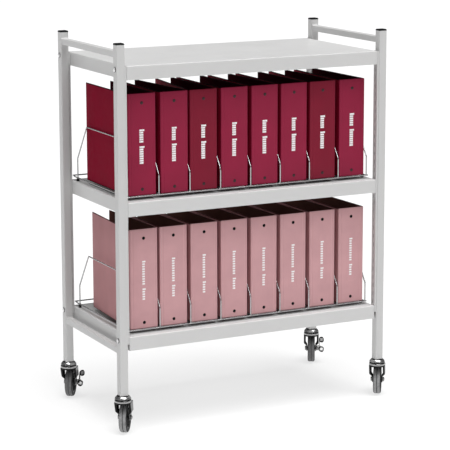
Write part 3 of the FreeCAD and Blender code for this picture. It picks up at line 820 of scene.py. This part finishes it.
def ring_mechanism(name, low, high):
    """Base bar on the spine's inner face, with three rings and two opening levers."""
    centre_x = (low.x + high.x) / 2
    centre_z = (low.z + high.z) / 2
    base_y = low.y + BOARD - 0.1 * MM
    metal = Shape()
    arched_bar(metal, centre_x, base_y, centre_z)
    for step in (-1, 0, 1):
        for side in (-1, 1):
            half_ring(metal, centre_x, base_y + 1.5 * MM, centre_z + step * RING_SPACING, side)
    for up in (-1, 1):
        booster(metal, centre_x, base_y, centre_z, up)
    metal.object("rings_" + name, "binder_" + name, [RING_METAL], smooth=45.0)


def build_binders():
    """Eight binders in each of the two rows."""
    for row in ROWS:
        for index in range(BINDERS_IN_ROW):
            name = "%s_%d" % (row, index + 1)
            low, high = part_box("binder_" + name)
            binder_case(row, name, low, high)
            spine_marks(row, name, low, high)
            spine_pocket(row, name, low, high)
            spine_rivets(row, name, low, high)
            ring_mechanism(name, low, high)


# ---- casters ----
# Each caster is drawn with its swivel axis on Z and its wheel trailing to +X, then placed.

DOME_PROFILE = ((15.4, 118.6), (16.8, 117.7), (18.4, 116.6), (20.4, 114.9), (22.2, 112.7), (23.4, 110.6),
                (24.0, 109.2), (23.9, 108.4), (23.2, 107.8), (21.6, 107.4), (19.0, 107.2), (6.0, 107.1))
CROWN_PROFILE = ((8.0, 106.3), (20.5, 106.2), (22.4, 105.9), (23.8, 105.0), (24.5, 103.4), (24.5, 99.6),
                 (24.3, 97.4), (23.6, 95.4), (22.2, 94.0), (20.4, 93.6), (18.6, 94.2), (18.0, 96.0),
                 (8.0, 96.6))
RIVET_END = ((4.6, 98.0), (4.6, 95.6), (6.9, 95.2), (6.9, 94.4), (5.8, 93.9), (2.0, 93.7))
TYRE_HALF_PROFILE = ((33.0, 10.4), (34.6, 11.2), (37.0, 11.5), (39.8, 11.4), (41.7, 10.8), (43.1, 9.6),
                     (43.9, 7.9), (44.4, 5.9), (44.5, 4.0), (44.5, 2.0), (43.9, 1.3), (43.8, 0.4))
TREAD_FROM = 43.0            # outer radius above which the tyre is tread, in mm
GROOVE_HALF = 1.5            # half width of the groove round the middle of the tread, in mm
HUB_PROFILE = ((4.05, 12.7), (8.2, 12.7), (8.9, 12.1), (9.1, 7.0), (10.6, 5.3), (26.4, 5.1), (28.0, 6.4),
               (28.6, 9.6), (29.6, 10.4), (32.4, 10.5), (33.0, 10.2))
HUB_RIBS = 8
RIB_HALF = 0.9               # half a rib's thickness, in mm
RIB_OUTLINE = ((8.6, 4.6), (8.6, 11.2), (12.0, 8.4), (24.0, 7.6), (28.2, 9.2), (28.2, 4.6))


class CasterPlace:
    """Where one caster stands, read from its joints."""

    def __init__(self, place):
        swivel = Vector(JOINTS["swivel_" + place]["pos_m"])
        axle = Vector(JOINTS["roll_" + place]["pos_m"])
        trailing = axle - swivel
        trailing.z = 0.0
        self.trail = trailing.length
        self.axle_height = axle.z
        turn = Matrix.Rotation(math.atan2(trailing.y, trailing.x), 4, "Z")
        self.matrix = Matrix.Translation((swivel.x, swivel.y, 0.0)) @ turn
        upright = Matrix.Rotation(math.radians(90), 4, "X")
        self.wheel = self.matrix @ Matrix.Translation((self.trail, 0.0, self.axle_height)) @ upright

    def at(self, x, y, z):
        """A point given beside the caster, in the frame."""
        return self.matrix @ Vector((x, y, z))


def swivel_head(place, spot):
    """Pressed dome over the ball races: bright on its flank, painted black as shade at its neck, in the gap
    below and on the rivet's end.
    """
    def skin(level, index):
        return PLATE if 2 <= level <= 5 else PAINTED_SHADE

    head = Shape()
    head.lathe(scaled(DOME_PROFILE), spot.matrix, segments=64, kind=skin)
    head.lathe(scaled(RIVET_END), spot.matrix, segments=32, kind=PAINTED_SHADE)
    head.object("swivel_head_" + place, "frame", [CASTER_PLATE, BLACK_SHADE_PAINT],
                replaces=["caster_socket_" + place], smooth=50.0)


LEG_TOP = 97.0
LEG_STEPS = 26
LEG_SHEET = 2.5
LEG_FLANGE = 6.2             # depth of the folded edges under the crown
LEG_RIM = 2.2                # thickness of the folded edges
LEG_OUT_TOP = 24.3
LEG_OUT_AXLE = 15.7
LEG_SHOULDER = 67.0
LEG_ANKLE = 55.0
LEG_TOP_FRONT = -11.0
LEG_TOP_REAR = 26.0
LEG_TIP = 10.5
TIP_SHARE = 0.35             # share of a leg's rings that go to its round end


def leg_ring(spot, side, share):
    """Channel section of a leg: share 0 is the tip under the axle, 1 is under the crown."""
    axle_x = spot.trail / MM
    axle_z = spot.axle_height / MM
    if share < TIP_SHARE:
        angle = math.radians(-88 + 88 * share / TIP_SHARE)
        z = axle_z + LEG_TIP * math.sin(angle)
        reach = LEG_TIP * math.cos(angle)
        front, rear = axle_x - reach, axle_x + reach
    else:
        rise = (share - TIP_SHARE) / (1.0 - TIP_SHARE)
        z = axle_z + (LEG_TOP - axle_z) * rise
        front = axle_x - LEG_TIP + (LEG_TOP_FRONT - axle_x + LEG_TIP) * rise
        rear = axle_x + LEG_TIP + (LEG_TOP_REAR - axle_x - LEG_TIP) * rise
    out = LEG_OUT_AXLE + (LEG_OUT_TOP - LEG_OUT_AXLE) * ease((z - LEG_ANKLE) / (LEG_SHOULDER - LEG_ANKLE))
    inner = out - LEG_SHEET
    lip = inner - 0.2 - (LEG_FLANGE - LEG_SHEET) * ease((z - LEG_ANKLE) / (LEG_SHOULDER - LEG_ANKLE))
    rim = min(LEG_RIM, (rear - front) * 0.3)
    soft = min(0.8, (rear - front) * 0.2)
    section = [
        (front, lip), (front, out - 0.8), (front + soft, out), ((front + rear) / 2, out), (rear - soft, out),
        (rear, out - 0.8), (rear, lip), (rear - rim, lip), (rear - rim, inner), (front + rim, inner),
        (front + rim, lip),
    ]
    return [spot.at(x * MM, side * y * MM, z * MM) for x, y in section]


def fork(place, spot):
    """Round crown with two pressed legs that step in to the axle. The crown outside its outer band, and the
    legs' edges, flanges and inner faces, are painted black as shade.
    """
    def skin(level, index):
        return PLATE if 3 <= level <= 4 else PAINTED_SHADE

    body = Shape()
    body.lathe(scaled(CROWN_PROFILE), spot.matrix, segments=64, kind=skin, wrap=True)
    for side in (-1, 1):
        rings = [leg_ring(spot, side, step / LEG_STEPS) for step in range(LEG_STEPS + 1)]
        body.loft(rings, lambda level, index: LEG_FACE if 1 <= index <= 4 else PAINTED_SHADE)
    body.object("fork_" + place, "swivel_" + place, [CASTER_PLATE, BLACK_SHADE_PAINT, FORK_PLATE],
                replaces=["caster_fork_" + place], smooth=40.0)


def tyre(place, spot):
    """Tyre with rounded shoulders and a groove round its tread, the groove painted darker than the tread as
    shade.
    """
    half = list(TYRE_HALF_PROFILE)
    profile = half + [(radius, -along) for radius, along in reversed(half)]

    def skin(level, index):
        here, after = profile[level], profile[(level + 1) % len(profile)]
        if max(abs(here[1]), abs(after[1])) < GROOVE_HALF:
            return CHANNEL
        return SIDE_WALL if min(here[0], after[0]) < TREAD_FROM else TREAD

    ring = Shape()
    ring.lathe(scaled(profile), spot.wheel, segments=96, kind=skin, wrap=True)
    ring.object("tyre_" + place, "wheel_" + place,
                [TREADS[place.split("_")[0]], SIDEWALL, GROOVE],
                replaces=["caster_tyre_" + place], smooth=50.0)


def hub(place, spot):
    """Dished hub with radial ribs on both sides."""
    half = list(HUB_PROFILE)
    profile = half + [(radius, -along) for radius, along in reversed(half)]
    centre = Shape()
    centre.lathe(scaled(profile), spot.wheel, segments=64, wrap=True)
    for index in range(HUB_RIBS):
        turn = spot.wheel @ Matrix.Rotation(math.tau * index / HUB_RIBS, 4, "Z")
        for side in (-1, 1):
            outline = [turn @ Vector((x * MM, -RIB_HALF * MM, side * z * MM)) for x, z in RIB_OUTLINE]
            centre.slab(outline, turn.to_3x3() @ Vector((0, 1, 0)), 2 * RIB_HALF * MM, edge=0.25 * MM)
    centre.object("hub_" + place, "wheel_" + place, [HUB_PLASTIC],
                  replaces=["caster_hub_" + place], smooth=40.0)


def hexagon_ring(radius, along):
    """Hexagon with corners clipped to a circle, as 24 points."""
    ring = []
    for step in range(24):
        angle = math.tau * step / 24
        nearest = (angle + math.pi / 6) % (math.pi / 3) - math.pi / 6
        reach = min(radius * math.cos(math.pi / 6) / math.cos(nearest), radius * 0.985)
        ring.append((reach * math.cos(angle), reach * math.sin(angle), along))
    return ring


HEX_SECTION = ((0.86, 0.0), (0.99, 0.08), (1.0, 0.12), (1.0, 0.80), (0.94, 0.93), (0.84, 1.0), (0.5, 1.0))


def hex_end(shape, place, flats, height, direction):
    """Chamfered hexagon head or nut on its washer face."""
    radius = flats / math.sqrt(3)
    rings = []
    for share, along in HEX_SECTION:
        points = hexagon_ring(radius * share, along * height * direction)
        rings.append([place @ (Vector(point) * MM) for point in points])
    shape.loft(rings)


AXLE_OUT = 15.7
LEVER_OUT = 27.6             # where a braked axle's nut starts, just clear of the lever's boss
SHANK = 3.9                  # radius of the axle bolt, in mm
FLATS = 13.0                 # width of its head and nut across their flats


def axle(place, spot):
    """Axle bolt: hexagon head, shank, and a nut."""
    bolt = Shape()
    far = LEVER_OUT if place in BRAKED else AXLE_OUT
    shank = [(SHANK, -AXLE_OUT), (SHANK, far + 5.2), (3.4, far + 6.0), (2.4, far + 6.0)]
    bolt.lathe(scaled(shank), spot.wheel, segments=24)
    hex_end(bolt, spot.wheel @ Matrix.Translation((0, 0, -AXLE_OUT * MM)), FLATS, 5.0, -1)
    hex_end(bolt, spot.wheel @ Matrix.Translation((0, 0, far * MM)), FLATS, 4.6, 1)
    bolt.object("axle_" + place, "swivel_" + place, [AXLE_STEEL],
                replaces=["caster_axle_" + place], smooth=30.0)


PLATE_IN = 25.3              # inner face of the lever's plate, out from the wheel's middle
PLATE_SHEET = 1.9
PLATE_EDGE = 0.3
PLATE_HOLE = 6.5             # wider than the boss's bore, hidden inside the boss
BOSS = ((4.05, 15.95), (7.6, 15.95), (8.0, 16.4), (8.0, 26.9), (7.6, 27.3), (4.05, 27.3))
BOSS_RADIUS = 8.0
ARM_RADIUS = 6.0
LOCKING = (14.0, 23.0)       # ends of the lever's two arms, along and up from the axle
RELEASING = (-18.0, 2.0)
TAB_REACH = 41.0
TAB_HALF = 10.0
TAB_THICK = 1.1
TAB_STEPS = 10
# Each foot tab: its root from the axle, along and up, its pitch, and the lift of its outer end.
TABS = ((*LOCKING, 55.0, 10.0), (*RELEASING, 50.0, -8.0))
TAB_SECTION = ((1.0, 0.0), (0.96, 0.8), (0.5, 1.0), (0.0, 0.8), (-0.5, 1.0), (-0.96, 0.8), (-1.0, 0.0),
               (-0.96, -0.9), (-0.4, -0.8), (0.4, -0.8), (0.96, -0.9))


def lever_plate(shape, spot):
    """Flat of the lever: two rounded arms that meet in the boss on the axle, painted black as shade."""
    axle_x = spot.trail / MM
    axle_z = spot.axle_height / MM
    outline = arc(LOCKING, ARM_RADIUS, -31, 149, 10)
    outline += arc((-3.0, 13.0), 4.0, -30, -60, 2)
    outline += arc(RELEASING, ARM_RADIUS, 97, 277, 10)
    outline += arc((0.0, 0.0), BOSS_RADIUS, 262, 330, 6)
    inner = [(x * PLATE_HOLE / math.hypot(x, z), z * PLATE_HOLE / math.hypot(x, z)) for x, z in outline]
    ring, hole = [
        [spot.at((axle_x + x) * MM, -PLATE_IN * MM, (axle_z + z) * MM) for x, z in line]
        for line in (outline, inner)
    ]
    across = spot.matrix.to_3x3() @ Vector((0, -1, 0))
    shape.slab(ring, across, PLATE_SHEET * MM, PAINTED_SHADE, edge=PLATE_EDGE * MM, hole=hole)


def lever_tab(shape, spot, along, up, pitch, lift):
    """Foot tab: pressed paddle bent out from the plate, waisted at its root, rounded at its tip; painted
    black as shade but for a bright strip along its middle.
    """
    turn = Matrix.Rotation(math.radians(-lift), 3, "X") @ Matrix.Rotation(math.radians(-pitch), 3, "Y")
    root = Vector((spot.trail / MM + along, -PLATE_IN, spot.axle_height / MM + up))
    rings = []
    for step in range(TAB_STEPS + 1):
        share = step / TAB_STEPS
        wide = TAB_HALF * (0.62 + 0.38 * ease(share / 0.35))
        if share > 0.6:
            wide *= math.sqrt(1.0 - 0.86 * ((share - 0.6) / 0.4) ** 2)
        out = -0.8 - (TAB_REACH - PLATE_IN - 0.8) * share
        ring = []
        for flat, rise in TAB_SECTION:
            point = root + turn @ Vector((flat * wide, out, rise * TAB_THICK))
            ring.append(spot.at(*[part * MM for part in point]))
        rings.append(ring)

    def skin(level, index):
        return PLATE if index in (2, 3) and 2 <= level < TAB_STEPS - 2 else PAINTED_SHADE

    shape.loft(rings, skin)


def brake_pedal(place, spot):
    """Toggle lever: plate and boss on the axle, with a locking and a release tab."""
    lever = Shape()
    lever_plate(lever, spot)
    lever.lathe(scaled(BOSS), spot.wheel, segments=32, wrap=True)
    for along, up, pitch, lift in TABS:
        lever_tab(lever, spot, along, up, pitch, lift)
    lever.object("pedal_" + place, "brake_" + place, [LEVER_STEEL, BLACK_SHADE_PAINT],
                 replaces=["brake_lever_" + place], smooth=45.0)


def build_casters():
    """Four casters, the rear two with brakes."""
    for place in CASTER_PLACES:
        spot = CasterPlace(place)
        swivel_head(place, spot)
        fork(place, spot)
        tyre(place, spot)
        hub(place, spot)
        axle(place, spot)
        if place in BRAKED:
            brake_pedal(place, spot)


# ---- stage ----

FLOOR_HALF = 60.0


def build_floor():
    """Plain pale floor, far wider than the view."""
    mesh = bpy.data.meshes.new("studio_floor")
    corners = [(x * FLOOR_HALF, y * FLOOR_HALF, 0) for x, y in ((-1, -1), (1, -1), (1, 1), (-1, 1))]
    mesh.from_pydata(corners, [], [(0, 1, 2, 3)])
    floor = bpy.data.objects.new("studio_floor", mesh)
    SCENE.collection.objects.link(floor)
    pale = Material("studio_floor", Roughness=0.9, Specular_IOR_Level=0.0, Emission_Strength=0.70)
    pale.shader.inputs["Emission Color"].default_value = (1.0, 1.0, 1.0, 1.0)
    pale.mottle((0.28, 0.28, 0.28), pale.noise(1.5), 0.99, 1.01)
    mesh.materials.append(pale.data)


def sun(name, toward, strength, spread):
    """Far soft light that shines along toward; spread is its angular size in degrees."""
    data = bpy.data.lights.new(name, "SUN")
    data.energy = strength
    data.angle = math.radians(spread)
    lamp = bpy.data.objects.new(name, data)
    lamp.rotation_euler = Vector(toward).to_track_quat("-Z", "Y").to_euler()
    SCENE.collection.objects.link(lamp)


def build_lights():
    """Dim even surroundings, and four soft suns."""
    world = bpy.data.worlds.new("studio")
    world.use_nodes = True
    SCENE.world = world
    nodes = world.node_tree.nodes
    links = world.node_tree.links
    place = nodes.new("ShaderNodeTexCoord")
    split = nodes.new("ShaderNodeSeparateXYZ")
    ramp = nodes.new("ShaderNodeValToRGB")
    links.new(place.outputs["Generated"], split.inputs["Vector"])
    links.new(split.outputs["Z"], ramp.inputs["Fac"])
    ramp.color_ramp.elements[0].position = 0.22
    ramp.color_ramp.elements[0].color = (0.14, 0.14, 0.142, 1.0)
    ramp.color_ramp.elements[1].position = 0.50
    ramp.color_ramp.elements[1].color = (0.16, 0.16, 0.163, 1.0)
    links.new(ramp.outputs["Color"], nodes["Background"].inputs["Color"])
    sun("overhead", (-0.06, 0.22, -1.0), 1.32, 40.0)
    sun("front_key", (-0.10, 0.42, -0.91), 1.36, 32.0)
    sun("left_fill", (0.16, 0.10, -0.97), 1.38, 25.0)
    sun("left_glint", (0.90, 0.25, -0.45), 0.06, 12.0)


# The camera stands in front of the cart's left end, above its top shelf, and looks down at it.
CAMERA_FROM_CENTRE = (-2525.7 * MM, -4979.7 * MM)
CAMERA_HEIGHT = 1680.2 * MM
CAMERA_YAW = 0.46676
CAMERA_PITCH = 0.17726
CAMERA_ROLL = 0.00297
LENS = 150.79                # mm on a 36 mm wide sensor
SHIFT = (0.0160, -0.1024)


def build_camera():
    """Camera placed from the middle between the posts."""
    posts = [middle_of("post_front_left"), middle_of("post_rear_right")]
    centre = (posts[0] + posts[1]) / 2
    spot = Vector((centre.x + CAMERA_FROM_CENTRE[0], centre.y + CAMERA_FROM_CENTRE[1], CAMERA_HEIGHT))
    level = math.cos(CAMERA_PITCH)
    ahead = Vector((math.sin(CAMERA_YAW) * level, math.cos(CAMERA_YAW) * level, -math.sin(CAMERA_PITCH)))
    right = Vector((math.cos(CAMERA_YAW), -math.sin(CAMERA_YAW), 0.0))
    down = ahead.cross(right)
    turned_right = right * math.cos(CAMERA_ROLL) + down * math.sin(CAMERA_ROLL)
    turned_down = down * math.cos(CAMERA_ROLL) - right * math.sin(CAMERA_ROLL)
    data = bpy.data.cameras.new("camera")
    data.lens = LENS
    data.sensor_width = 36.0
    data.shift_x, data.shift_y = SHIFT
    data.clip_end = 200.0
    camera = bpy.data.objects.new("camera", data)
    rotation = Matrix((turned_right, -turned_down, -ahead)).transposed()
    camera.matrix_world = Matrix.Translation(spot) @ rotation.to_4x4()
    SCENE.collection.objects.link(camera)
    SCENE.camera = camera


SCENE.view_settings.view_transform = "Standard"
dress_frame()
build_welds()
build_bolts()
for rack_row in ROWS:
    rack_welds(rack_row)
build_binders()
build_casters()
build_floor()
build_lights()
build_camera()
